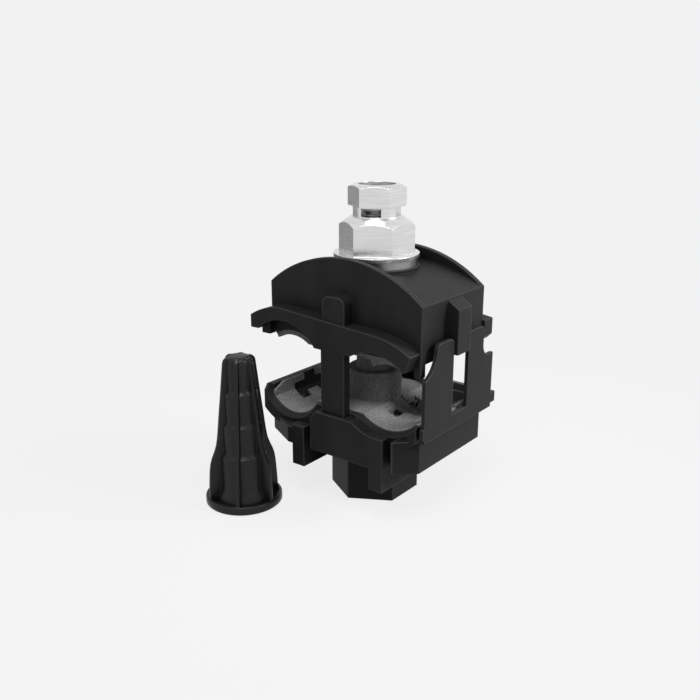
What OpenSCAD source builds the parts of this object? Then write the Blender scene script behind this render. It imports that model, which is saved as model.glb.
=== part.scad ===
// Insulation piercing connector. Two moulded jaws, each lined with a rubber gasket and
// holding two toothed contact blades, are drawn together over a main cable and a tap cable
// by one bolt with a shear-head nut. A ribbed end cap for the cut tap cable stands beside it.
// Origin: on the bolt axis, at the bottom of the hexagonal boss. X runs across the two
// channels, with the main channel at -X, Y runs along the cables, and Z is up.

/* [Bolt] */
// Thread diameter of the bolt
bolt_d = 8; // [7:0.1:8.5]
// Length of the bolt under its head
bolt_l = 70; // [67:0.5:74]
// Width of the bolt head across its flats
head_af = 13; // [11:0.1:14]
// Height of the bolt head
head_h = 5.3; // [4:0.1:6]
// Depth of the bolt head below the mouth of its pocket
head_sunk = 2.7; // [1:0.1:4]

/* [Shear nut and washer] */
// Width across the flats of the hexagon that shears off
small_af = 13; // [12:0.1:14]
// Height of the hexagon that shears off
small_h = 5.4; // [4:0.1:8]
// Width across the flats of the hexagon that stays
large_af = 17; // [16:0.1:19]
// Height of the hexagon that stays, with its chamfer
large_h = 9.2; // [7:0.1:11]
// Height of the chamfer on top of the hexagon that stays
chamfer_h = 2.2; // [1:0.1:3]
// Diameter at the top of that chamfer
chamfer_d = 13.8; // [13:0.1:14.5]
// Outside diameter of the weak neck
neck_d = 12.4; // [11.4:0.1:12.6]
// Height of the weak neck
neck_h = 2.7; // [2:0.1:4]
// Diameter of the hollow through the neck and the upper hexagon
hollow_d = 9.6; // [9.2:0.1:10.2]
// Width of each neck window as an angle
window_deg = 50; // [30:1:60]
// Height of each neck window
window_h = 2.1; // [1:0.1:2.4]
// Diameter of the nut's flange
flange_d = 22.2; // [20:0.1:24]
// Thickness of the nut's flange
flange_t = 1; // [0.8:0.1:2]
// Diameter of the washer
washer_d = 21.2; // [18:0.1:23]
// Thickness of the washer
washer_t = 2; // [1:0.1:3]

/* [Channels] */
// Distance of the main channel from the bolt axis
main_x = 16.4; // [16:0.1:17]
// Distance of the tap channel from the bolt axis
tap_x = 14.4; // [14:0.1:15]
// Radius of the main channel
main_r = 9.5; // [9:0.1:9.8]
// Radius of the tap channel in the lower jaw
tap_r = 12; // [11.5:0.1:12.3]
// Radius of the tap channel in the upper jaw
tap_top_r = 7.5; // [7:0.1:8]
// Height of the main channel's floor above the underside of the lower jaw
main_floor = 6.6; // [6.2:0.1:7]
// Height of the tap channel's floor above the underside of the lower jaw
tap_floor = 9.2; // [8.8:0.1:9.6]
// Height of the ridge between the channels above the underside of the lower jaw
ridge_h = 11.7; // [11.4:0.1:12.4]
// Opening between the ridge and the upper gasket
jaw_gap = 15; // [14.5:0.1:17]

/* [Jaw bodies] */
// Width of the upper jaw across the channels
core_w = 47.6; // [47:0.1:49]
// Length of both jaws along the cables, without their lips
core_l = 29; // [27:0.1:31]
// Height of the upper jaw's side walls
wall_h = 14.3; // [13:0.1:17]
// Rise of the saddle above the side walls
saddle_rise = 5.3; // [4:0.1:6]
// Rise of the arched front and rear plates above the side walls
arch_rise = 8.7; // [7:0.1:11]
// Thickness of the arched plates
arch_t = 1.4; // [1:0.1:2]
// Reach of the upper lips in front of the jaw
lip_l = 4; // [3.5:0.1:5]
// Overhang of the upper lips past the left side wall
lip_over = 4.1; // [3.5:0.1:5]
// Height of the upper lips' top above the underside of the upper jaw
lip_rise = 7.35; // [6.8:0.05:8]
// Height of the lower jaw's hexagonal boss
boss_h = 15.3; // [12:0.1:17]
// Width across the flats of the boss
boss_af = 20.7; // [19:0.1:22]
// Reach of the lower lips past the jaw's front face
rim_l = 1.9; // [1.5:0.1:2.4]
// Thickness of the lower lips under the channels
rim_t = 4; // [3:0.1:4.4]
// Thickness of the rim on the left of the main channel
rim_w = 1.8; // [1.4:0.1:2.2]
// Widening of the channels through the lower lips
flare = 1; // [0.5:0.1:1.2]
// Thickness of the skirt in front of the tongue slots
skirt_t = 0.8; // [0.6:0.1:1.5]
// Depth of the two leg fins below the lower jaw
fin_h = 5.8; // [4:0.1:8]
// Thickness of each leg fin
fin_t = 4; // [3:0.1:5]

/* [Guides] */
// Width of the front and rear tongues
tongue_w = 7.4; // [6.5:0.1:8]
// Thickness of the tongues
tongue_t = 2.4; // [2:0.1:2.8]
// Depth of the tongues' ends below the ridge
tongue_in = 3; // [2:0.1:5]
// Clearance of the tongues in their slots
tongue_gap = 0.3; // [0.2:0.05:0.4]
// Thickness of the fork plate on the right
fork_t = 1; // [0.8:0.1:1.6]
// Height of the fork's posts above the ridge
fork_h = 21; // [18:0.1:23]
// Clearance between the fork plate and the upper jaw's wall
fork_gap = 1.5; // [1.2:0.1:1.8]
// Width of the guide block that runs in the fork
guide_w = 6; // [5:0.1:7]
// Clearance of the guide block on each side
guide_gap = 0.6; // [0.3:0.05:0.8]

/* [Gaskets and blades] */
// Thickness of the gaskets
gasket_t = 1.2; // [1:0.05:1.4]
// Thickness of the upper gasket's web between the channels
web_t = 1; // [0.8:0.1:1.5]
// Depth of the worked middle of the lower channels below their seal bands
mid_drop = 0.5; // [0.3:0.05:0.7]
// Length of the seal band at each end of a channel
band_l = 12; // [10:0.1:12.4]
// Diameter of the rubber sleeve round the bolt
sleeve_d = 14.3; // [13.4:0.1:14.6]
// Diameter of the neck on the rubber sleeve
sleeve_neck_d = 10.1; // [9.8:0.1:11]
// Height of the neck on the rubber sleeve
sleeve_neck_h = 7.3; // [6:0.1:8.5]
// Thickness of the rubber stop at the rear end of the tap channel
stop_t = 1.4; // [1:0.1:1.6]
// Height of the rubber stop above the ridge
stop_h = 2.1; // [1.6:0.1:2.4]
// Thickness of the contact blades
blade_t = 1.4; // [1.2:0.05:1.6]
// Distance of the blades from the bolt axis
blade_y = 5.5; // [5.3:0.1:6]
// Depth of the blade teeth
tooth_h = 1.8; // [1.2:0.1:2]
// Depth of the tooth tips below the gasket's surface
tooth_sunk = 0.5; // [0.4:0.1:0.8]

/* [End cap] */
// Height of the end cap
cap_h = 40.6; // [38:0.1:48]
// Diameter of the end cap's base ring
cap_d = 20.4; // [19:0.1:22]
// Bore of the end cap at its mouth
cap_bore_d = 9.6; // [8:0.1:10]
// Wall of the end cap round its bore
cap_wall = 1.2; // [1:0.1:1.6]
// Thickness of the end cap's ribs
cap_rib_t = 1.3; // [1:0.1:1.6]
// Place of the end cap across the channels
cap_x = -22.1; // [-26:0.1:-17]
// Place of the end cap in front of the connector
cap_y = -29.2; // [-36:0.1:-28.5]

/* [Hidden] */
$fn = 96;

// Cut past a face, and fit clearances
past = 1;
thread_gap = 0.06;
shank_gap = 0.2;
washer_gap = 0.4;
head_gap = 0.15;
blade_gap = 0.1;
sleeve_gap = 0.45;

// Half sizes of the jaws
core_x = core_w/2;
core_y = round(core_l*512)/1024;
skirt_x = core_x + 0.3;
rim_y = core_y + rim_l;
lip_y = core_y + lip_l;
tongue_y = lip_y - 0.1;
skirt_y = tongue_y + tongue_gap + skirt_t;

// Heights, stacked from the bottom of the boss
jaw_z = boss_h;
main_z = jaw_z + main_floor + main_r;
tap_z = jaw_z + tap_floor + tap_r;
ridge_z = jaw_z + ridge_h;
top_z = ridge_z + jaw_gap + web_t;
wall_z = top_z + wall_h;
seat_z = wall_z + saddle_rise;
nut_z = seat_z + washer_t;
hex_z = nut_z + flange_t;
neck_z = hex_z + large_h;
small_z = neck_z + neck_h;
head_z = head_sunk;
shank_z = head_z + head_h;

// Centres of the upper jaw's arches
main_crest = 0.6;
tap_crest = -1.4;
main_top_z = top_z + main_crest - main_r;
tap_top_z = top_z + tap_crest - tap_top_r;

// Upper lips: a wave that follows both channels and falls away at its ends
lip_x0 = -core_x - lip_over;
lip_x1 = core_x - 0.4;
lip_gap = 0.7;
rear_lip_x1 = core_x + fork_gap - lip_gap;
lip_bend = tap_x - 1.4;
lip_slant = 1.4;
lip_main_r = main_r + 3.5;
lip_main_z = top_z + 5.3 - lip_main_r;
lip_tap_r = tap_r + 1.5;
lip_tap_x = tap_x - 1.6;
lip_tap_z = top_z + 2 - lip_tap_r;
lip_drop = 0.1;
tip_drop = 1;
lip_end = 1.8;
lip_steps = 40;
lip_slope = 0.07;
left_fall = 4.05;
front_fall = 2.75;
rear_fall = 0.45;
rib_back = 0.5;

// Lower lips, skirt and leg fins
rim_x0 = -core_x - 2;
rim_x1 = rim_x0 + rim_w;
rim_top = ridge_z + 1.3;
tap_rim = 1;
skirt_x0 = -6.7;
skirt_x1 = 16.5;
skirt_step = 0.8;
shoulder_w = 2.2;
shoulder_h = 3;
main_fin_x = -13;
tap_fin_x = 12.4;
main_corner_h = 4.6;
tap_corner_w = 5.1;
tap_corner_h = main_floor + 2;

// Tongues end inside the skirt
tongue_z = ridge_z - tongue_in;

// Fork plate
fork_x0 = core_x + fork_gap;
fork_x1 = fork_x0 + fork_t;
fork_foot = ridge_z - 2.8;
fork_slot = guide_w/2 + guide_gap;
fork_top = ridge_z + fork_h;
fork_y = core_y + 1.5;
rear_fork_y = fork_y + 0.35;
front_ear_y = fork_y + 0.6;
rear_ear_y = skirt_y - 0.9;
post_y = core_y - 3.4;
post_r = 1.5;
shoulder_drop = 8.4;
shoulder_z = fork_top - shoulder_drop;
front_fillet = 7.4;
rear_fillet = 3;

// Bolt sleeve and its pocket
sleeve_z = ridge_z + jaw_gap;
pocket_h = 11.8;
pocket_d = sleeve_d + 2*sleeve_gap;

// Rubber stop, clear of the upper gasket's path and of the lip's flare
stop_gap = 0.3;
stop_play = 0.1;
stop_x0 = tap_x - 6.9;
stop_x1 = tap_x + 7.3;
stop_foot = ridge_z + 0.5;

// Upper gasket
gasket_rise = 2.8;
main_bulge = 1.2;
tap_bulge = 2.9;
main_half = 5.1;
tap_half = 4.2;
flank = 2.4;

// Blades, with a group of teeth on each flank of a channel, and the windows over them
main_teeth_deg = [22, 33];
tap_teeth_deg = [13, 26];
teeth = 2;
blade_foot = jaw_z + 2.2;
blade_mid = ridge_z - 4;
blade_bridge = sleeve_z + pocket_h + 0.5;
blade_top = blade_bridge + 2.6;
main_window = [3.6, 7.6];
tap_window = [2.6, 5.7];
tap_top_window = [1.2, 4.4];
window_y0 = 2.2;
window_y1 = blade_y + blade_t/2 + 0.4;

// End cap
cap_tiers = [13.8, 22.2, 30.9];
cap_step = 0.8;
cap_ring_h = 2.2;
cap_ring_edge = 0.5;
cap_dome = 2.4;
cap_flare_z = 12.6;
cap_flare_r = 9.1;
cap_waist_z = 18.3;
cap_waist_r = 6.8;
cap_top_r = 4.4;
cap_top_round = 1.2;

// Extrudes an X-Z profile along Y, from y0 to y1.
module along_y(y0, y1) {
    translate([0, y1, 0]) rotate([90, 0, 0]) linear_extrude(y1 - y0) children();
}

// Extrudes a Y-Z profile along X, from x0 to x1.
module along_x(x0, x1) {
    translate([x0, 0, 0]) rotate([90, 0, 90]) linear_extrude(x1 - x0) children();
}

// Repeats a front feature at the rear.
module front_and_rear() {
    children();
    mirror([0, 1, 0]) children();
}

// Hexagonal prism with two flats facing along X.
module hex_prism(af, h) {
    rotate(30) cylinder(d = af/cos(30), h = h, $fn = 6);
}

// Cuts an outer corner at the origin back to a radius.
module corner_cut_2d(r) {
    translate([-r, -r]) difference() {
        square(r + past);
        circle(r);
    }
}

// The block that the lower channels are sunk in, worn down by a depth.
module block_2d(depth) {
    translate([rim_x0, jaw_z]) square([tap_x - rim_x0, ridge_h - depth]);
    translate([tap_x, jaw_z]) square([skirt_x - tap_x, ridge_h + tap_rim - depth]);
}

// The ground under the lower channels, worn down by a depth below the cable surface.
module ground_2d(depth) {
    difference() {
        block_2d(depth);
        translate([-main_x, main_z]) circle(main_r + depth);
        translate([tap_x, tap_z]) circle(tap_r + depth);
    }
}

// The thickness of the lower lips, which also carries the gasket on the left.
module lower_shell_2d() {
    translate([-main_x, main_z]) circle(main_r + rim_t);
    intersection() {
        translate([tap_x, tap_z]) circle(tap_r + rim_t);
        translate([0, jaw_z]) square([skirt_x, ridge_h + tap_rim]);
    }
}

// The left rim, which stands a little above the ridge.
module left_rim_2d() {
    intersection() {
        translate([rim_x0, jaw_z]) square([rim_w, rim_top - jaw_z]);
        translate([-main_x, main_z]) circle(main_r + rim_t);
    }
}

module lower_lip_2d() {
    intersection() {
        block_2d(0);
        union() {
            lower_shell_2d();
            translate([skirt_x0, jaw_z]) square([skirt_x1 - skirt_x0, ridge_h]);
        }
    }
    left_rim_2d();
}

module lower_core_2d() {
    intersection() {
        ground_2d(gasket_t);
        union() {
            translate([-skirt_x, jaw_z]) square([2*skirt_x, ridge_h + tap_rim]);
            lower_shell_2d();
        }
    }
    left_rim_2d();
}

// The skirt in front of the ridge and the tap channel, a step below the lips.
module skirt_2d() {
    intersection() {
        ground_2d(skirt_step);
        polygon([[skirt_x0, jaw_z], [skirt_x1, jaw_z], [skirt_x1, ridge_z],
                 [skirt_x0 + shoulder_w, ridge_z], [skirt_x0, ridge_z - shoulder_h]]);
    }
}

// Front lip of the lower jaw, where both channels open out.
module lower_lip() {
    slope = flare/rim_l;
    difference() {
        along_y(-rim_y, -core_y) lower_lip_2d();
        for (c = [[-main_x, main_z, main_r], [tap_x, tap_z, tap_r]])
            translate([c[0], past - core_y, c[1]]) rotate([90, 0, 0])
                cylinder(r1 = c[2] - slope*past, r2 = c[2] + slope*(rim_l + past), h = rim_l + 2*past);
    }
}

// Half of the fork: a post with a hollow shoulder and a rounded top, and an ear at its foot.
module fork_post_2d(reach, ear, fillet) {
    difference() {
        translate([0, fork_foot]) square([reach, fork_h + ridge_z - fork_foot]);
        translate([post_y, shoulder_z]) difference() {
            square([reach, fork_h]);
            difference() {
                translate([-past, -past]) square(fillet + past);
                translate([fillet, fillet]) circle(fillet);
            }
        }
        translate([-past, ridge_z]) square([fork_slot + past, fork_h + past]);
        translate([post_y, fork_top]) corner_cut_2d(post_r);
        translate([fork_slot, fork_top]) mirror([1, 0]) corner_cut_2d(post_r);
    }
    translate([0, fork_foot + 1]) square([ear, ridge_z - fork_foot]);
}

module fork_2d() {
    fork_post_2d(rear_fork_y, rear_ear_y, rear_fillet);
    mirror([1, 0]) fork_post_2d(fork_y, front_ear_y, front_fillet);
}

// Slots for the blades, open to the channels.
module blade_slots(z0, z1) {
    root = tooth_sunk + tooth_h;
    x0 = -main_x - (main_r + root)*sin(main_teeth_deg[1]) - blade_gap;
    x1 = tap_x + (tap_r + root)*sin(tap_teeth_deg[1]) + blade_gap;
    slot_w = blade_t + 2*blade_gap;
    front_and_rear()
        translate([x0, -blade_y - slot_w/2, z0]) cube([x1 - x0, slot_w, z1 - z0]);
}

// Window in a gasket over one group of teeth, at a span to one side of a channel.
module tooth_window(x, side, span, z0, z1) {
    x0 = side < 0 ? x - span[1] : x + span[0];
    translate([x0, -window_y1, z0])
        cube([span[1] - span[0], window_y1 - window_y0, z1 - z0]);
}

module tooth_windows(tap_span, z0, z1) {
    front_and_rear() for (side = [-1, 1]) {
        tooth_window(-main_x, side, main_window, z0, z1);
        tooth_window(tap_x, side, tap_span, z0, z1);
    }
}

module lower_body() {
    color("#242424") difference() {
        union() {
            along_y(-core_y, core_y) lower_core_2d();
            front_and_rear() {
                lower_lip();
                along_y(-skirt_y, -core_y) skirt_2d();
                // Chamfered corners beside the leg fins
                translate([0, 0, jaw_z]) linear_extrude(tap_corner_h)
                    polygon([[skirt_x - tap_corner_w, -skirt_y], [skirt_x, -core_y],
                             [skirt_x - tap_corner_w, -core_y]]);
                translate([0, 0, jaw_z]) linear_extrude(main_corner_h)
                    polygon([[main_fin_x - 1.5, -skirt_y], [main_fin_x + past, -skirt_y],
                             [main_fin_x + past, -core_y], [-skirt_x, -core_y]]);
            }
            // Leg fins along the cables
            translate([main_fin_x, -skirt_y, jaw_z - fin_h])
                cube([fin_t, 2*skirt_y, fin_h + main_floor - gasket_t]);
            translate([tap_fin_x, -skirt_y, jaw_z - fin_h])
                cube([fin_t, 2*skirt_y, fin_h + main_floor]);
            hex_prism(boss_af, boss_h + past);
            along_x(fork_x0, fork_x1) fork_2d();
            // Foot that joins the fork plate to the jaw
            translate([skirt_x - past, -core_y, fork_foot])
                cube([fork_x0 - skirt_x + past + fork_t/2, core_l, ridge_z - fork_foot - gasket_t]);
        }
        translate([0, 0, -past]) hex_prism(head_af + 2*head_gap, shank_z + past);
        cylinder(d = bolt_d + 2*shank_gap, h = ridge_z + past);
        blade_slots(blade_foot, ridge_z + past);
        // Tongue slots, open below
        front_and_rear()
            translate([-tongue_w/2 - tongue_gap, -tongue_y - tongue_gap, 0])
                cube([tongue_w + 2*tongue_gap, tongue_t + 2*tongue_gap, ridge_z + past]);
    }
}

// The lower gasket's section, with its surface let down by a depth, right of a place.
module gasket_2d(drop, x0) {
    intersection() {
        difference() {
            ground_2d(drop);
            ground_2d(gasket_t);
        }
        translate([x0, jaw_z]) square([core_x - x0, ridge_h + tap_rim]);
    }
}

// Flange of a seal band against the left rim, with a sloped front end.
module gasket_flange() {
    flange_w = 0.7;
    end_z = ridge_z - 0.6;
    top = rim_top - 0.1;
    difference() {
        along_x(rim_x1, rim_x1 + flange_w)
            polygon([[-core_y, jaw_z], [-core_y, end_z], [-core_y + 2*(top - end_z), top],
                     [-core_y + band_l, top], [-core_y + band_l, jaw_z]]);
        along_y(-core_y - past, 0) ground_2d(gasket_t);
    }
}

// Section of the rubber stop inside a radius of the tap channel.
module stop_2d(r, top) {
    intersection() {
        translate([tap_x, tap_z]) circle(r);
        translate([stop_x0, jaw_z]) square([stop_x1 - stop_x0, top - jaw_z]);
    }
}

// Rubber stop for the cut end of the tap cable.
module tap_stop() {
    stop_y = core_y + stop_gap;
    along_y(core_y - stop_t, core_y) stop_2d(tap_r + gasket_t/2, stop_foot);
    along_y(core_y - stop_t, stop_y + stop_t) stop_2d(tap_r - stop_play, stop_foot);
    along_y(stop_y, stop_y + stop_t) stop_2d(tap_r - stop_play, ridge_z + stop_h);
}

module lower_gasket() {
    notch_w = 1.6;
    color("#6f6f6f") difference() {
        union() {
            front_and_rear() {
                along_y(-core_y, -core_y + band_l) gasket_2d(0, rim_x1);
                gasket_flange();
            }
            along_y(-core_y + band_l, core_y - band_l) gasket_2d(mid_drop, rim_x1 + notch_w);
            translate([0, 0, ridge_z - gasket_t])
                cylinder(d = sleeve_d, h = sleeve_z - sleeve_neck_h - ridge_z + gasket_t);
            translate([0, 0, ridge_z])
                cylinder(d = sleeve_neck_d, h = sleeve_z - ridge_z);
            tap_stop();
        }
        translate([0, 0, jaw_z]) cylinder(d = bolt_d + 2*shank_gap, h = sleeve_z);
        tooth_windows(tap_window, jaw_z, ridge_z - gasket_t/2);
    }
}

// Points of a group of teeth on an arc about a centre, between two angles.
function tooth_group(x, z, r, deg0, deg1, up) = [for (i = [0:2*teeth])
    let (a = deg0 + i*(deg1 - deg0)/(2*teeth), q = i % 2 == 0 ? r + tooth_h : r)
    [x + q*sin(a), z + up*q*cos(a)]];

// Both groups of a channel, from the left to the right.
function tooth_row(x, z, r, deg, up) = concat(
    tooth_group(x, z, r, -deg[1], -deg[0], up),
    tooth_group(x, z, r, deg[0], deg[1], up));

module lower_blade(y) {
    main_row = tooth_row(-main_x, main_z, main_r + tooth_sunk, main_teeth_deg, -1);
    tap_row = tooth_row(tap_x, tap_z, tap_r + tooth_sunk, tap_teeth_deg, -1);
    last = len(tap_row) - 1;
    along_y(y - blade_t/2, y + blade_t/2) polygon(concat(
        main_row,
        [[-main_x + main_r - 1, blade_mid], [tap_x - tap_r + 3, blade_mid]],
        tap_row,
        [[tap_row[last][0], blade_foot], [main_row[0][0], blade_foot]]));
}

module upper_blade(y) {
    main_row = tooth_row(-main_x, main_top_z, main_r + tooth_sunk, main_teeth_deg, 1);
    tap_row = tooth_row(tap_x, tap_top_z, tap_top_r + tooth_sunk, tap_teeth_deg, 1);
    last = len(tap_row) - 1;
    bridge_x = pocket_d/2 + 0.4;
    along_y(y - blade_t/2, y + blade_t/2) polygon(concat(
        main_row,
        [[-bridge_x, main_row[last][1]], [-bridge_x, blade_bridge],
         [bridge_x, blade_bridge], [bridge_x, top_z + blade_gap],
         [tap_row[0][0], top_z + blade_gap]],
        tap_row,
        [[tap_row[last][0], blade_top], [main_row[0][0], blade_top]]));
}

module lower_blade_front() { color("#c9c4ba") lower_blade(-blade_y); }
module lower_blade_rear() { color("#c9c4ba") lower_blade(blade_y); }
module upper_blade_front() { color("#c9c4ba") upper_blade(-blade_y); }
module upper_blade_rear() { color("#c9c4ba") upper_blade(blade_y); }

module bolt() {
    color("#a8a8a4") union() {
        translate([0, 0, head_z]) hex_prism(head_af, head_h);
        translate([0, 0, head_z]) cylinder(d = bolt_d, h = head_h + bolt_l);
    }
}

// Height of an upper lip's top edge at a place across the channels.
function lip_top(x, x1, fall) = let (
        left = max(0, (main_x + x)/(main_x + lip_x0)),
        right = max(0, (x - lip_bend)/(x1 - lip_bend)))
    top_z + lip_rise - lip_slope*x - left_fall*left*left - fall*right*right;

// An upper lip that ends on the right at x1, with the points of its slanted end.
module upper_lip_2d(x1, fall, tip) {
    step = (x1 - lip_x0)/lip_steps;
    difference() {
        polygon(concat(
            [for (i = [0:lip_steps]) [lip_x0 + i*step, lip_top(lip_x0 + i*step, x1, fall)]],
            tip,
            [[lip_tap_x, top_z - lip_drop], [lip_x0, top_z - lip_drop]]));
        translate([-main_x, lip_main_z]) circle(lip_main_r);
        translate([lip_tap_x, lip_tap_z]) circle(lip_tap_r);
        translate([lip_x0 - past, top_z - lip_drop - past])
            square([-main_x - lip_x0, lip_end + lip_drop + past]);
    }
}

// Section of the upper jaw: flat walls, arched saddle and the main channel's hollow.
module upper_core_2d() {
    saddle_r = (core_x*core_x + saddle_rise*saddle_rise)/(2*saddle_rise);
    corner = 2.8;
    difference() {
        union() {
            translate([-core_x, top_z]) square([core_w, wall_h]);
            intersection() {
                translate([0, seat_z - saddle_r]) circle(saddle_r);
                translate([-core_x, wall_z - past]) square([core_w, saddle_rise + 2*past]);
            }
        }
        translate([-main_x, main_top_z]) circle(main_r + gasket_t);
        polygon([[-core_x - past, top_z - past], [-core_x + corner*0.6, top_z - past],
                 [-core_x + corner*0.6, top_z], [-core_x, top_z + corner],
                 [-core_x - past, top_z + corner]]);
    }
}

module arch_2d() {
    arch_r = (core_x*core_x + arch_rise*arch_rise)/(2*arch_rise);
    intersection() {
        translate([0, wall_z + arch_rise - arch_r]) circle(arch_r);
        translate([-core_x, wall_z - 1.5*past]) square([core_w, arch_rise + 3*past]);
    }
}

// Rib on the front plate, with a rounded top.
module front_rib() {
    rib_x = tongue_w/2 - 0.2;
    rib_foot = top_z + lip_end;
    rib_top = wall_z - 0.4;
    rib_r = 2;
    along_y(rib_back - lip_y, arch_t/2 - core_y) difference() {
        translate([-rib_x, rib_foot]) square([2*rib_x, rib_top - rib_foot]);
        for (side = [0, 1]) mirror([side, 0]) translate([rib_x, rib_top]) corner_cut_2d(rib_r);
    }
}

module upper_body() {
    color("#262626") difference() {
        union() {
            along_y(-core_y, core_y) upper_core_2d();
            // Washer seat on the saddle
            translate([0, 0, wall_z]) cylinder(d = washer_d + 1, h = saddle_rise);
            front_and_rear() {
                along_y(-core_y, -core_y + arch_t) arch_2d();
                front_rib();
                translate([-tongue_w/2, -tongue_y, tongue_z])
                    cube([tongue_w, tongue_t, top_z + lip_end - tongue_z]);
                // Corner tabs under the left lip and under the right wall
                translate([-core_x - 2.4, -core_y - 1.5, top_z]) cube([2.8, 3.5, 4]);
                translate([core_x - 1.8, -core_y, top_z - 3.2]) cube([1.8, 2, 3.2 + past]);
            }
            along_y(-lip_y, -core_y) upper_lip_2d(lip_x1, front_fall,
                [[lip_x1 - lip_slant, top_z - tip_drop]]);
            along_y(core_y, lip_y) upper_lip_2d(rear_lip_x1, rear_fall,
                [[rear_lip_x1, top_z + 0.9], [rear_lip_x1 - lip_slant, top_z - 0.5]]);
            // Guide block that runs in the fork
            along_y(-guide_w/2, guide_w/2) polygon([[core_x - past, top_z + 0.45],
                [fork_x1 + 0.7, top_z + 0.45], [fork_x1 + 0.7, wall_z - 2.5], [core_x - past, wall_z + 0.2]]);
        }
        translate([0, 0, top_z - web_t]) cylinder(d = pocket_d, h = pocket_h);
        cylinder(d = bolt_d + 2*shank_gap, h = seat_z + past);
        blade_slots(top_z - web_t - past, blade_top);
    }
}

module upper_gasket() {
    main_low = top_z - main_bulge;
    tap_low = top_z - tap_bulge;
    color("#5c5c5c") difference() {
        along_y(-core_y, core_y) difference() {
            union() {
                polygon([[-main_x - main_half - flank, top_z + gasket_rise], [-main_x - main_half, main_low],
                         [-main_x + main_half, main_low], [-main_x + main_half + flank, top_z + gasket_rise]]);
                polygon([[tap_x - tap_half - flank, top_z], [tap_x - tap_half, tap_low],
                         [tap_x + tap_half, tap_low], [tap_x + tap_half + flank, top_z]]);
                translate([-main_x + main_half, top_z - web_t])
                    square([main_x + tap_x - main_half - tap_half, web_t]);
            }
            translate([-main_x, main_top_z]) circle(main_r);
            translate([tap_x, tap_top_z]) circle(tap_top_r);
            translate([-core_x - main_r, top_z - main_r]) square([main_r + 0.6, 2*main_r]);
            upper_core_2d();
        }
        translate([0, 0, top_z - web_t - past]) cylinder(d = pocket_d, h = web_t + 2*past);
        tooth_windows(tap_top_window, tap_low - past, top_z + gasket_rise + past);
    }
}

module washer() {
    color("#9b9d97") translate([0, 0, seat_z]) difference() {
        cylinder(d = washer_d, h = washer_t);
        translate([0, 0, -past])
            cylinder(d = bolt_d + 2*washer_gap, h = washer_t + 2*past);
    }
}

// Four windows through the weak neck.
module neck_windows() {
    first_window = 21;
    reach = neck_d;
    translate([0, 0, neck_z + (neck_h - window_h)/2]) linear_extrude(window_h)
        for (k = [0:3]) rotate(first_window + 90*k)
            polygon([[0, 0], [reach*cos(window_deg/2), -reach*sin(window_deg/2)],
                     [reach*cos(window_deg/2), reach*sin(window_deg/2)]]);
}

module shear_nut() {
    small_c = small_af/cos(30);
    large_c = large_af/cos(30);
    edge = 0.8;
    color("#d9d9d9") difference() {
        union() {
            translate([0, 0, nut_z]) cylinder(d = flange_d, h = flange_t);
            translate([0, 0, nut_z]) intersection() {
                hex_prism(large_af, flange_t + large_h);
                union() {
                    cylinder(d = large_c + past, h = flange_t + large_h - chamfer_h);
                    translate([0, 0, flange_t + large_h - chamfer_h])
                        cylinder(d1 = large_c, d2 = chamfer_d, h = chamfer_h);
                }
            }
            difference() {
                translate([0, 0, neck_z - past]) cylinder(d = neck_d, h = neck_h + 2*past);
                neck_windows();
            }
            translate([0, 0, small_z]) intersection() {
                hex_prism(small_af, small_h);
                union() {
                    cylinder(d = small_c + past, h = small_h - edge);
                    translate([0, 0, small_h - edge])
                        cylinder(d1 = small_c, d2 = small_c - 4*edge, h = edge);
                }
            }
        }
        translate([0, 0, nut_z - past])
            cylinder(d = bolt_d + 2*thread_gap, h = large_h + flange_t + past);
        translate([0, 0, neck_z - edge]) cylinder(d = hollow_d, h = neck_h + small_h + 2*edge);
    }
}

// Radius of the end cap's body on a tier, counted from the base.
function cap_r(tier) = cap_bore_d/2 + cap_wall - tier*cap_step;

// Section of the end cap's ribs: a slim taper that flares to the base ring.
module cap_rib_2d() {
    top = cap_h - cap_dome;
    polygon([[0, 1], [cap_d/2 - cap_ring_edge, 1], [cap_d/2 - cap_ring_edge, cap_ring_h],
             [cap_flare_r, cap_flare_z], [cap_waist_r, cap_waist_z], [cap_top_r, top + past], [0, top + past]]);
}

// Section of the end cap's body: a base ring, tiers with sloped steps and a closed top.
module cap_body_2d() {
    polygon(concat(
        [[0, 0], [cap_d/2, 0], [cap_d/2, cap_ring_h - cap_ring_edge],
         [cap_d/2 - cap_ring_edge, cap_ring_h], [cap_r(0), cap_ring_h + cap_ring_edge]],
        [for (i = [0:2]) each [[cap_r(i), cap_tiers[i]], [cap_r(i + 1), cap_tiers[i] + cap_step]]],
        [[cap_r(3), cap_h - cap_dome], [cap_top_r, cap_h - cap_dome]],
        [for (a = [0:22.5:90]) [cap_top_r - cap_top_round + cap_top_round*cos(a),
                                cap_h - cap_top_round + cap_top_round*sin(a)]],
        [[0, cap_h]]));
}

module end_cap() {
    color("#232323") translate([cap_x, cap_y, 0]) difference() {
        union() {
            rotate_extrude() cap_body_2d();
            for (k = [0:3]) rotate(30 + 45*k) front_and_rear()
                rotate(90) along_y(-cap_rib_t/2, cap_rib_t/2) cap_rib_2d();
        }
        for (i = [0:3])
            translate([0, 0, -past])
                cylinder(d = cap_bore_d - 2*i*cap_step,
                         h = past - cap_wall + (i == 3 ? cap_h - cap_dome : cap_tiers[i]));
    }
}

lower_body();
lower_gasket();
lower_blade_front();
lower_blade_rear();
bolt();
end_cap();
upper_body();
upper_gasket();
upper_blade_front();
upper_blade_rear();
washer();
shear_nut();
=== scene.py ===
"""Insulation piercing connector: finishes, thread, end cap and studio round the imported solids."""

from math import cos, pi, radians, sin

import bmesh
import bpy
from mathutils import Matrix, Vector


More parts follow.
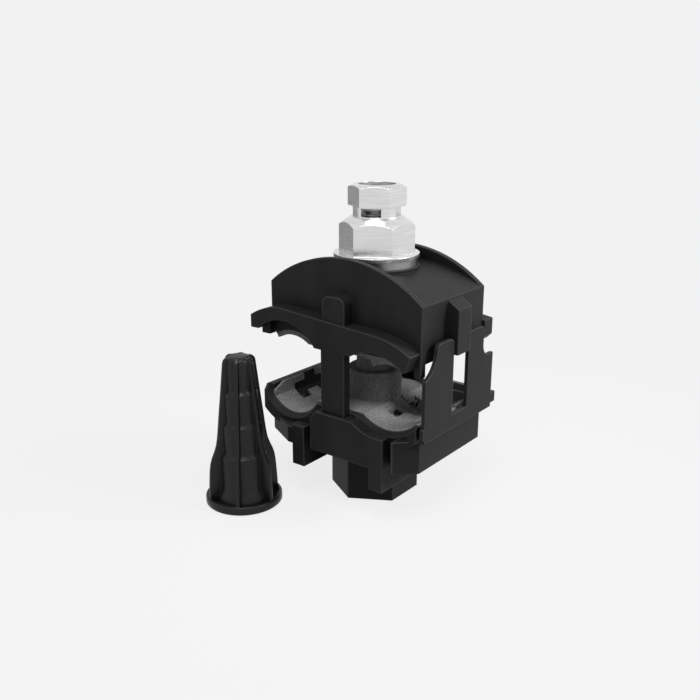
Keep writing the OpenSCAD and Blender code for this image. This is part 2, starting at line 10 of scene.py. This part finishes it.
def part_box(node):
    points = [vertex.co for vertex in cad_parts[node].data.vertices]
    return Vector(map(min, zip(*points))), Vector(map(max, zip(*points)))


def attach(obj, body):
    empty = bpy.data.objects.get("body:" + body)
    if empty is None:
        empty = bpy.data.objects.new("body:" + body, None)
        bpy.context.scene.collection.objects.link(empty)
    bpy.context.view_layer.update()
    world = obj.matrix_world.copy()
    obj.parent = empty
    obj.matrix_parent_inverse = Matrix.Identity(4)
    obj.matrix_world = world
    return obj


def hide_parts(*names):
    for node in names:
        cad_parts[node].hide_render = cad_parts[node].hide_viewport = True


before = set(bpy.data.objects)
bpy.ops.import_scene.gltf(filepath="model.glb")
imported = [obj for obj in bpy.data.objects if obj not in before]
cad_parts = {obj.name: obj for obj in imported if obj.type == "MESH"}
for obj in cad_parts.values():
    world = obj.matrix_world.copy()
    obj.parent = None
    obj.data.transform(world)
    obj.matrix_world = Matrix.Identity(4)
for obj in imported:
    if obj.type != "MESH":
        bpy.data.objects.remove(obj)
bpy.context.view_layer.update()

bl_info = {
    "name": "Insulation Piercing Connector",
    "version": (1, 0, 0),
    "blender": (4, 5, 0),
    "location": "View3D > Sidebar > Connector",
    "description": "Dresses the connector's solids with rounded edges, a thread, finishes and a studio",
    "category": "Object",
}

MM = 0.001


# Sizes and colours that a user would change

def length_setting(label, use, default):
    return bpy.props.FloatProperty(name=label, description=use, default=default, unit="LENGTH")


def colour_setting(label, use, default):
    return bpy.props.FloatVectorProperty(
        name=label, description=use, default=default, subtype="COLOR", min=0.0, max=1.0)


class ConnectorEdges(bpy.types.PropertyGroup):
    """Rounding of the edges, the end cap's ribs and the bolt's thread."""

    jaw_edge: length_setting("Jaw edge", "Rounding of the moulded jaws' edges", 0.00045)
    rubber_edge: length_setting("Rubber edge", "Rounding of the gaskets' edges", 0.0002)
    cap_edge: length_setting("Cap edge", "Rounding of the end cap's edges", 0.0002)
    cap_rib: length_setting("Cap rib", "Thickness of the end cap's ribs", 0.00125)
    metal_edge: length_setting("Metal edge", "Broken edge of the metal pieces", 0.00015)
    thread_pitch: length_setting("Thread pitch", "Pitch of the bolt's coarse thread", 0.00125)
    thread_depth: length_setting("Thread depth", "Depth of the bolt's thread", 0.00072)
    thread_length: length_setting("Thread length", "Length of the thread from the bolt's tip", 0.04)


class ConnectorColours(bpy.types.PropertyGroup):
    """Base colours of the finishes."""

    jaw: colour_setting("Jaw plastic", "Black moulded plastic of both jaws", (0.019, 0.019, 0.019))
    rubber: colour_setting("Gasket rubber", "Grey granular rubber of the gaskets", (0.25, 0.25, 0.25))
    cap: colour_setting("Cap plastic", "Black rubbery plastic of the end cap", (0.008, 0.008, 0.008))
    alloy: colour_setting("Nut alloy", "Bright turned alloy of the shear nut", (0.76, 0.76, 0.765))
    washer: colour_setting("Washer steel", "Plated steel of the washer and flange rim", (0.3, 0.31, 0.3))
    bolt: colour_setting("Bolt steel", "Plated steel of the bolt", (0.36, 0.36, 0.35))
    blade: colour_setting("Blade tin", "Tinned metal of the contact blades", (0.55, 0.54, 0.51))


class ConnectorStudio(bpy.types.PropertyGroup):
    """Camera, light from all round and floor."""

    azimuth: bpy.props.FloatProperty(
        name="Azimuth", description="Side from which the camera looks",
        default=radians(37.96), subtype="ANGLE")
    elevation: bpy.props.FloatProperty(
        name="Elevation", description="Height of the camera above the horizon",
        default=radians(17.37), subtype="ANGLE")
    place: bpy.props.FloatVectorProperty(
        name="Camera place", description="Where the camera stands",
        default=(0.123127, -0.168950, 0.104349), subtype="TRANSLATION", precision=5)
    lens: bpy.props.FloatProperty(
        name="Lens", description="Focal length on a 36 mm sensor",
        default=42.08, unit="CAMERA")
    backdrop: colour_setting("Backdrop", "Pale grey of the floor and the background", (0.888, 0.888, 0.888))
    ambient: bpy.props.FloatProperty(
        name="Ambient", description="Strength of the light from all round",
        default=0.24, min=0.0)
    bounce: colour_setting("Bounce", "Grey of the floor in the light that it throws back", (0.28, 0.28, 0.28))


# Shader maths

class Wire:
    """An output socket with arithmetic: each expression adds a Math node."""

    def __init__(self, finish, socket):
        self.finish = finish
        self.socket = socket

    def calc(self, operation, a, b):
        return self.finish.node("ShaderNodeMath", {"operation": operation}, {0: a, 1: b})

    def __add__(self, other):
        return self.calc("ADD", self, other)

    def __radd__(self, other):
        return self.calc("ADD", other, self)

    def __sub__(self, other):
        return self.calc("SUBTRACT", self, other)

    def __rsub__(self, other):
        return self.calc("SUBTRACT", other, self)

    def __mul__(self, other):
        return self.calc("MULTIPLY", self, other)

    def __rmul__(self, other):
        return self.calc("MULTIPLY", other, self)


class Finish:
    """A node tree in the making, of a material or of the world."""

    def __init__(self, owner):
        owner.use_nodes = True
        self.tree = owner.node_tree
        self.tree.nodes.clear()

    def node(self, kind, settings=None, sockets=None, output=0):
        """Makes any node: its settings first, then its sockets."""
        made = self.tree.nodes.new(kind)
        for name, value in (settings or {}).items():
            if name == "stops":
                for stop, (place, level) in zip(made.color_ramp.elements, value):
                    stop.position = place
                    stop.color = (level, level, level, 1)
            else:
                setattr(made, name, value)
        for name, value in (sockets or {}).items():
            if isinstance(value, Wire):
                self.tree.links.new(value.socket, made.inputs[name])
            elif hasattr(value, "__len__") and made.inputs[name].type == "RGBA":
                made.inputs[name].default_value = (*value[:3], 1)
            else:
                made.inputs[name].default_value = value
        return Wire(self, made.outputs[output] if made.outputs else None)

    def place(self):
        """Position in the part's own frame."""
        return self.node("ShaderNodeTexCoord", output="Object")

    def mix(self, mask, low, high):
        return self.node("ShaderNodeMix", {"data_type": "RGBA"}, {0: mask, 6: low, 7: high}, 2)

    def noise(self, scale, stretch=(1, 1, 1), detail=2, roughness=0.5):
        place = self.place()
        if stretch != (1, 1, 1):
            place = self.node("ShaderNodeMapping", None, {"Vector": place, "Scale": stretch})
        return self.node("ShaderNodeTexNoise", None,
                         {"Vector": place, "Scale": scale, "Detail": detail, "Roughness": roughness})

    def ramp(self, value, low, high):
        return self.node("ShaderNodeValToRGB", {"stops": [(low, 0), (high, 1)]}, {"Fac": value})

    def fade(self, value, low, high, start, end):
        """Goes from start to end as the value goes from low to high."""
        return self.node("ShaderNodeMapRange", None,
                         {"Value": value, "From Min": low, "From Max": high, "To Min": start, "To Max": end})

    def bump(self, height, depth, edge, strength=1.0):
        """Relief on top of edges that are rounded to a radius."""
        rounded = self.node("ShaderNodeBevel", {"samples": 8}, {"Radius": edge})
        return self.node("ShaderNodeBump", None,
                         {"Height": height, "Distance": depth, "Strength": strength, "Normal": rounded})

    def ridges(self, reach):
        """Mask of the convex edges, from rays cast into the solid."""
        inside = self.node("ShaderNodeAmbientOcclusion", {"inside": True, "only_local": True, "samples": 8},
                           {"Distance": reach}, "AO")
        return self.fade(inside, 0.96, 0.6, 0.0, 1.0)

    def corners(self, reach):
        """Mask that falls from 1 on open faces to 0 in concave corners; it places painted shade."""
        return self.node("ShaderNodeAmbientOcclusion", {"samples": 8}, {"Distance": reach}, "AO")

    def surface(self, shader):
        self.node("ShaderNodeOutputMaterial", None, {"Surface": shader})


def new_finish(name):
    material = bpy.data.materials.new(name)
    return material, Finish(material)


def shaded(colour, by):
    return tuple(min(1.0, c * by) for c in colour)


# Finishes

def moulded_plastic(name, colour, edge, gloss, shine, painted_shade_reach, painted_edge_highlight):
    """Black glass-filled plastic: fine grain, faint flow marks, painted shade in its concave corners and,
    where asked, painted highlights along its convex edges.
    """
    material, f = new_finish(name)
    grain = f.noise(3600, detail=3, roughness=0.6)
    flow = f.ramp(f.noise(150, stretch=(1, 1, 0.35), detail=4), 0.35, 0.7)
    colours = f.mix(flow, shaded(colour, 0.85), shaded(colour, 1.2))
    # Painted shade: concave corners and the faces under overhangs are darkened to 0.12 of the colour.
    colours = f.mix(f.corners(painted_shade_reach), shaded(colour, 0.12), colours)
    # Painted highlight: convex edges are lightened to 2.6 times the colour, as if their rounding caught the
    # light.
    if painted_edge_highlight:
        colours = f.mix(f.ridges(0.9 * edge), colours, shaded(colour, 2.6))
    f.surface(f.node("ShaderNodeBsdfPrincipled", None, {
        "Base Color": colours,
        "Roughness": gloss + 0.08 * flow + 0.1 * grain,
        "IOR": 1.45,
        "Specular IOR Level": shine,
        "Normal": f.bump(grain, 0.00003, edge),
    }))
    return material


def granular_rubber(name, colour, edge):
    """Grey rubber with a coarse granular skin."""
    material, f = new_finish(name)
    grains = f.noise(2300, detail=2, roughness=0.65)
    specks = f.ramp(grains, 0.36, 0.64)
    patches = f.noise(260, detail=3)
    colours = f.mix(specks, shaded(colour, 0.62), shaded(colour, 1.38))
    colours = f.mix(0.35 * patches, colours, shaded(colour, 0.8))
    f.surface(f.node("ShaderNodeBsdfPrincipled", None, {
        "Base Color": colours,
        "Roughness": 0.78 + 0.15 * grains,
        "IOR": 1.45,
        "Specular IOR Level": 0.2,
        "Normal": f.bump(grains, 0.0003, edge, strength=0.9),
    }))
    return material


def turned_alloy(name, colour, edge, dull, rim_low, rim_high):
    """Bright alloy with fine tool marks round the axis, and a duller, streaked rim below a height."""
    material, f = new_finish(name)
    marks = f.noise(420, stretch=(0.25, 0.25, 9), detail=4, roughness=0.65)
    hair = f.ramp(marks, 0.35, 0.68)
    cloud = f.noise(140, detail=2)
    bright = f.mix(hair, shaded(colour, 0.9), shaded(colour, 1.04))
    streaks = f.ramp(f.noise(520, stretch=(1, 1, 0.05), detail=3), 0.35, 0.65)
    streaked = f.mix(streaks, shaded(dull, 0.6), shaded(dull, 1.25))
    height = f.node("ShaderNodeSeparateXYZ", None, {"Vector": f.place()}, "Z")
    rim = f.fade(height, rim_low, rim_high, 1.0, 0.0)
    f.surface(f.node("ShaderNodeBsdfPrincipled", None, {
        "Base Color": f.mix(rim, bright, streaked),
        "Metallic": 1.0,
        "Roughness": 0.2 + 0.08 * hair + 0.05 * cloud + 0.1 * rim,
        "Normal": f.bump(marks, 0.00002, edge),
    }))
    return material


def plated_steel(name, colour, edge, roughness, stretch=(1, 1, 1)):
    """Plated steel with a cloudy, slightly uneven coat."""
    material, f = new_finish(name)
    cloud = f.ramp(f.noise(420, stretch, detail=4), 0.32, 0.7)
    fine = f.noise(3800, detail=2)
    f.surface(f.node("ShaderNodeBsdfPrincipled", None, {
        "Base Color": f.mix(cloud, shaded(colour, 0.8), shaded(colour, 1.15)),
        "Metallic": 1.0,
        "Roughness": roughness + 0.12 * cloud,
        "Normal": f.bump(fine, 0.000012, edge),
    }))
    return material


# Meshes

def circle(radius, height, sides, start=0.0):
    """Points of a level ring round the Z axis."""
    angles = [start + 2 * pi * i / sides for i in range(sides)]
    return [(radius * cos(a), radius * sin(a), height) for a in angles]


def join_rings(form, rings):
    """Closed skin over rings of as many points each."""
    rows = [[form.verts.new(point) for point in ring] for ring in rings]
    for a, b in zip(rows, rows[1:]):
        for i in range(len(a)):
            j = (i + 1) % len(a)
            form.faces.new((a[i], a[j], b[j], b[i]))
    form.faces.new(list(reversed(rows[0])))
    form.faces.new(rows[-1])


def finished_mesh(name, form, sharp):
    """Smooth mesh of a form, with the edges over an angle kept sharp."""
    bmesh.ops.recalc_face_normals(form, faces=form.faces)
    mesh = bpy.data.meshes.new(name)
    form.to_mesh(mesh)
    form.free()
    mesh.shade_smooth()
    mesh.set_sharp_from_angle(angle=sharp)
    return mesh


def new_piece(name, mesh, material, body, slot, *nodes):
    """Links a mesh as a piece that rides on a body and stands for CAD nodes."""
    piece = bpy.data.objects.new(name, mesh)
    bpy.context.scene.collection.objects.link(piece)
    mesh.materials.append(material)
    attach(piece, body)
    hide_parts(*nodes)


def dress(finish, *nodes):
    """Puts a finish on CAD nodes whose own shape is shown."""
    for node in nodes:
        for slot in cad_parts[node].material_slots:
            slot.material = finish


# Operators

class CONNECTOR_OT_stage(bpy.types.Operator):
    """Make the camera, the world, the floor, a dark card and the lamps"""

    bl_idname = "connector.stage"
    bl_label = "Studio"

    sensor_width = 36
    near_clip = 0.01
    far_clip = 10
    floor_radius = 0.6
    floor_drop = 0.0002
    shadow_near = 0.05
    shadow_far = 0.16
    shadow_share = 0.1
    card_x = -0.2
    card_front = -0.1
    card_rear = 0.16
    card_top = 0.11
    card_grey = (0.32, 0.32, 0.32)
    lamp_aim = Vector((0, 0, 0.04))
    lamp_rows = (
        ("top_box", (0.14, -0.28, 0.62), 0.36, 3.4),
        ("key_box", (0.6, 0.3, 0.42), 0.25, 5.4),
    )

    def execute(self, context):
        studio = context.scene.connector_studio
        self.camera(context, studio)
        self.world(context, studio)
        self.floor(context, studio)
        self.card(context)
        self.lamps(context)
        context.scene.view_settings.view_transform = "Standard"
        return {"FINISHED"}

    def camera(self, context, studio):
        az, el = studio.azimuth, studio.elevation
        back = Vector((sin(az) * cos(el), -cos(az) * cos(el), sin(el)))
        right = Vector((cos(az), sin(az), 0))
        up = back.cross(right)
        lens = bpy.data.cameras.new("camera")
        lens.lens = studio.lens
        lens.sensor_width = self.sensor_width
        lens.clip_start = self.near_clip
        lens.clip_end = self.far_clip
        camera = bpy.data.objects.new("camera", lens)
        turn = Matrix((right, up, back)).transposed()
        camera.matrix_world = Matrix.Translation(studio.place) @ turn.to_4x4()
        context.scene.collection.objects.link(camera)
        context.scene.camera = camera

    def seen(self, f):
        """Mask of the rays that show the background: the camera's, and those by way of metal or glass."""
        rays = ("Is Camera Ray", "Is Glossy Ray", "Is Transmission Ray")
        camera, glossy, through = [f.node("ShaderNodeLightPath", output=ray) for ray in rays]
        return f.node("ShaderNodeClamp", None, {"Value": camera + glossy + through})

    def world(self, context, studio):
        world = bpy.data.worlds.new("studio")
        context.scene.world = world
        f = Finish(world)
        ambient = f.node("ShaderNodeBackground", None, {"Color": (1, 1, 1), "Strength": studio.ambient})
        pale = f.node("ShaderNodeBackground", None, {"Color": studio.backdrop, "Strength": 1.0})
        both = f.node("ShaderNodeMixShader", None, {0: self.seen(f), 1: ambient, 2: pale})
        f.node("ShaderNodeOutputWorld", None, {"Surface": both})

    def panel(self, context, name, points, material):
        """A flat piece of the stage."""
        mesh = bpy.data.meshes.new(name)
        mesh.from_pydata(points, [], [tuple(range(len(points)))])
        mesh.materials.append(material)
        piece = bpy.data.objects.new(name, mesh)
        context.scene.collection.objects.link(piece)
        return piece

    def floor(self, context, studio):
        """A pale floor that catches a faint shadow near the part and throws back little light."""
        material, f = new_finish("pale_floor")
        reach = f.node("ShaderNodeVectorMath", {"operation": "LENGTH"}, {0: f.place()}, "Value")
        near = f.fade(reach, self.shadow_near, self.shadow_far, self.shadow_share, 0.0)
        matt = f.node("ShaderNodeBsdfDiffuse", None, {"Color": studio.backdrop})
        glow = f.node("ShaderNodeEmission", None, {"Color": studio.backdrop, "Strength": 1.0})
        caught = f.node("ShaderNodeMixShader", None, {0: near, 1: glow, 2: matt})
        dim = f.node("ShaderNodeBsdfDiffuse", None, {"Color": studio.bounce})
        f.surface(f.node("ShaderNodeMixShader", None, {0: self.seen(f), 1: dim, 2: caught}))
        self.panel(context, "floor", circle(self.floor_radius, -self.floor_drop, 64), material)

    def card(self, context):
        """A grey card beside the part, which only reflections and soft light meet."""
        material, f = new_finish("dark_card")
        f.surface(f.node("ShaderNodeBsdfDiffuse", None, {"Color": self.card_grey}))
        outline = ((self.card_front, 0), (self.card_rear, 0),
                   (self.card_rear, self.card_top), (self.card_front, self.card_top))
        card = self.panel(context, "dark_card", [(self.card_x, y, z) for y, z in outline], material)
        card.visible_camera = False
        card.visible_shadow = False

    def lamps(self, context):
        for name, place, size, power in self.lamp_rows:
            light = bpy.data.lights.new(name, "AREA")
            light.size = size
            light.energy = power
            lamp = bpy.data.objects.new(name, light)
            lamp.location = place
            lamp.rotation_mode = "QUATERNION"
            lamp.rotation_quaternion = (self.lamp_aim - Vector(place)).to_track_quat("-Z", "Y")
            context.scene.collection.objects.link(lamp)


class CONNECTOR_OT_jaws(bpy.types.Operator):
    """Finish both moulded jaws"""

    bl_idname = "connector.jaws"
    bl_label = "Jaws"

    def execute(self, context):
        # The jaws get painted shade in their corners and painted highlights along their convex edges.
        finish = moulded_plastic(
            "jaw_plastic", context.scene.connector_colours.jaw, context.scene.connector_edges.jaw_edge,
            gloss=0.42, shine=0.1, painted_shade_reach=0.009, painted_edge_highlight=True)
        dress(finish, "lower_body", "upper_body")
        return {"FINISHED"}


class CONNECTOR_OT_gaskets(bpy.types.Operator):
    """Finish both rubber gaskets"""

    bl_idname = "connector.gaskets"
    bl_label = "Gaskets"

    def execute(self, context):
        edge = context.scene.connector_edges.rubber_edge
        finish = granular_rubber("gasket_rubber", context.scene.connector_colours.rubber, edge)
        dress(finish, "lower_gasket", "upper_gasket")
        return {"FINISHED"}


class CONNECTOR_OT_blades(bpy.types.Operator):
    """Finish the four contact blades"""

    bl_idname = "connector.blades"
    bl_label = "Contact blades"

    def execute(self, context):
        edge = context.scene.connector_edges.metal_edge
        finish = plated_steel("tinned_blade", context.scene.connector_colours.blade, edge, roughness=0.28)
        dress(finish, "lower_blade_front", "lower_blade_rear", "upper_blade_front", "upper_blade_rear")
        return {"FINISHED"}


class CONNECTOR_OT_bolt(bpy.types.Operator):
    """Make the bolt with its hexagonal head and its thread"""

    bl_idname = "connector.bolt"
    bl_label = "Bolt"

    radius = 4 * MM
    head_height = 5.3 * MM
    head_chamfer = 0.6 * MM
    shank_sunk = 0.5 * MM
    sides = 48
    steps_a_turn = 8
    fade_turns = 2

    def execute(self, context):
        edges = context.scene.connector_edges
        low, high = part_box("bolt")
        head_top = low.z + self.head_height
        form = bmesh.new()
        join_rings(form, self.shank(edges, head_top, high.z))
        join_rings(form, self.head(high.x, low.z, head_top))
        mesh = finished_mesh("bolt_turned", form, radians(38))
        colour = context.scene.connector_colours.bolt
        finish = plated_steel("zinc_steel", colour, edges.metal_edge, roughness=0.3)
        new_piece("bolt_turned", mesh, finish, "lower_jaw", "zinc_steel", "bolt")
        return {"FINISHED"}

    def shank(self, edges, foot, tip):
        """Rings of the plain shank, of the thread, which deepens over its first turns, and of the tip."""
        start = tip - edges.thread_length
        rise = edges.thread_pitch / self.steps_a_turn
        plain = (foot - self.shank_sunk, start - edges.thread_pitch)
        rings = [circle(self.radius, z, self.sides) for z in plain]
        for k in range(int(edges.thread_length / rise)):
            z = start + k * rise
            depth = edges.thread_depth * min(1.0, k / (self.fade_turns * self.steps_a_turn))
            bevel = max(0.0, edges.thread_depth - (tip - z))
            ring = []
            for i, (x, y, _) in enumerate(circle(1.0, z, self.sides)):
                turn = ((z - start) / edges.thread_pitch - i / self.sides) % 1.0
                groove = min(1.0, max(0.0, 1.35 * (1 - abs(2 * turn - 1)) - 0.1))
                r = self.radius - max(depth * groove, bevel)
                ring.append((r * x, r * y, z))
            rings.append(ring)
        rings.append(circle(self.radius - edges.thread_depth, tip, self.sides))
        return rings

    def head(self, half, low, top):
        """Rings of the hexagonal head, chamfered below."""
        corner = half / cos(pi / 6)
        rows = ((low, corner - 2 * self.head_chamfer), (low + self.head_chamfer, corner), (top, corner))
        return [circle(r, z, 6, pi / 6) for z, r in rows]


class CONNECTOR_OT_shear_nut(bpy.types.Operator):
    """Finish the shear nut and the washer under it"""

    bl_idname = "connector.shear_nut"
    bl_label = "Shear nut and washer"

    rim_low = 0.8 * MM
    rim_high = 0.95 * MM

    def execute(self, context):
        edge = context.scene.connector_edges.metal_edge
        colours = context.scene.connector_colours
        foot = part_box("shear_nut")[0].z
        alloy = turned_alloy(
            "nut_alloy", colours.alloy, edge,
            dull=colours.washer, rim_low=foot + self.rim_low, rim_high=foot + self.rim_high)
        steel = plated_steel("washer_steel", colours.washer, edge, roughness=0.3, stretch=(1, 1, 0.06))
        dress(alloy, "shear_nut")
        dress(steel, "washer")
        return {"FINISHED"}


class CONNECTOR_OT_end_cap(bpy.types.Operator):
    """Make the stepped end cap with its six ribs and its foot ring"""

    bl_idname = "connector.end_cap"
    bl_label = "End cap"

    sides = 72
    ribs = 6
    first_rib = radians(4.6)
    roof = 3.6
    step_rows = ((6.3, 4.9, 13.6), (5.4, 14.8, 22), (4.6, 23.2, 30.7), (3.7, 31.9, 38.6))
    rib_rows = (
        (1.4, 5.6, 9.75), (2.2, 5.6, 9.7), (6, 5.6, 9.5), (9.6, 5.6, 9.25), (11.8, 5.6, 8.95),
        (13.4, 5.4, 8.45), (15, 4.8, 7.75), (16.8, 4.8, 7.15), (19, 4.8, 6.75), (22, 4.7, 6.4),
        (26, 3.9, 5.95), (31, 3.8, 5.35), (36, 3, 4.8), (39, 3, 4.45))

    def execute(self, context):
        edges = context.scene.connector_edges
        low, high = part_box("end_cap")
        centre = Vector(((low.x + high.x) / 2, (low.y + high.y) / 2, low.z))
        rim = (high.x - low.x) / 2 / MM
        crown = (high.z - low.z) / MM
        form = bmesh.new()
        self.turn(form, self.shell(rim, crown))
        for k in range(self.ribs):
            join_rings(form, self.rib(crown, edges.cap_rib / MM, self.first_rib + 2 * pi * k / self.ribs))
        bmesh.ops.scale(form, verts=form.verts, vec=(MM, MM, MM))
        bmesh.ops.translate(form, verts=form.verts, vec=centre)
        mesh = finished_mesh("end_cap_moulding", form, radians(40))
        # The cap gets painted shade in the corners between its ribs and steps, and no painted edge
        # highlights.
        finish = moulded_plastic(
            "cap_rubber", context.scene.connector_colours.cap, edges.cap_edge,
            gloss=0.25, shine=0.32, painted_shade_reach=0.0025, painted_edge_highlight=False)
        new_piece("end_cap_moulding", mesh, finish, "lower_jaw", "cap_rubber", "end_cap")
        return {"FINISHED"}

    def shell(self, rim, crown):
        """Radius and height in mm down the bore, round the foot ring, up the steps and over the top."""
        roof = crown - self.roof
        bore = [(0, roof), (2.4, roof), (2.4, 29.7), (3.2, 29.7), (3.2, 21), (4, 21),
                (4, 12.6), (4.8, 12.6), (4.8, 0)]
        foot = [(rim - 0.3, 0), (rim, 0.3), (rim, 1.8), (rim - 0.3, 2.2), (rim - 0.9, 2.2),
                (rim - 1, 1.3), (7.7, 1.3), (7.4, 2.3)]
        steps = []
        for r, low, high in self.step_rows:
            steps += [(r + 0.12, low - 0.3), (r, low), (r, high), (r - 0.12, high + 0.2)]
        top = [(3.5, crown - 1.3), (3.2, crown - 0.6), (2.6, crown - 0.2), (1.4, crown - 0.05), (0, crown)]
        return bore + foot + steps + top

    def turn(self, form, profile):
        """Skin of a profile turned round the axis, where a point on the axis is one vertex."""
        rows = [[form.verts.new(point) for point in circle(r, z, self.sides if r > 0 else 1)]
                for r, z in profile]
        for a, b in zip(rows, rows[1:]):
            for i in range(self.sides):
                j = (i + 1) % self.sides
                corners = (a[i % len(a)], a[j % len(a)], b[j % len(b)], b[i % len(b)])
                form.faces.new(list(dict.fromkeys(corners)))

    def rib(self, crown, width, angle):
        """Rings of a rib in mm, from its foot to its rounded top, with its outer corners cut."""
        half = width / 2
        nose = 0.35 * width
        cut = 0.3 * nose
        along = Vector((cos(angle), sin(angle), 0))
        across = Vector((-sin(angle), cos(angle), 0))
        rings = []
        for z, inner, outer in (*self.rib_rows, (crown - 0.9, 3, 4.2), (crown - 0.3, 2.4, 3.5)):
            outline = ((inner, -half), (outer - nose, -half), (outer - cut, cut - half), (outer, nose - half),
                       (outer, half - nose), (outer - cut, half - cut), (outer - nose, half), (inner, half))
            rings.append([along * r + across * t + Vector((0, 0, z)) for r, t in outline])
        return rings


class CONNECTOR_PT_panel(bpy.types.Panel):
    """Lists the connector's pieces and settings"""

    bl_label = "Connector"
    bl_idname = "CONNECTOR_PT_panel"
    bl_space_type = "VIEW_3D"
    bl_region_type = "UI"
    bl_category = "Connector"

    def draw(self, context):
        for step in STEPS:
            self.layout.operator(step.bl_idname)
        for name in GROUPS:
            settings = getattr(context.scene, name)
            for key in settings.__annotations__:
                self.layout.prop(settings, key)


GROUPS = {
    "connector_edges": ConnectorEdges,
    "connector_colours": ConnectorColours,
    "connector_studio": ConnectorStudio,
}
STEPS = (
    CONNECTOR_OT_stage,
    CONNECTOR_OT_jaws,
    CONNECTOR_OT_gaskets,
    CONNECTOR_OT_blades,
    CONNECTOR_OT_bolt,
    CONNECTOR_OT_shear_nut,
    CONNECTOR_OT_end_cap,
)


def register():
    for cls in (*GROUPS.values(), *STEPS, CONNECTOR_PT_panel):
        bpy.utils.register_class(cls)
    for name, group in GROUPS.items():
        setattr(bpy.types.Scene, name, bpy.props.PointerProperty(type=group))


def unregister():
    for name in GROUPS:
        delattr(bpy.types.Scene, name)
    for cls in (CONNECTOR_PT_panel, *STEPS, *GROUPS.values()):
        bpy.utils.unregister_class(cls)


def main():
    register()
    bpy.ops.connector.stage()
    bpy.ops.connector.jaws()
    bpy.ops.connector.gaskets()
    bpy.ops.connector.blades()
    bpy.ops.connector.bolt()
    bpy.ops.connector.shear_nut()
    bpy.ops.connector.end_cap()


if __name__ == "__main__":
    main()
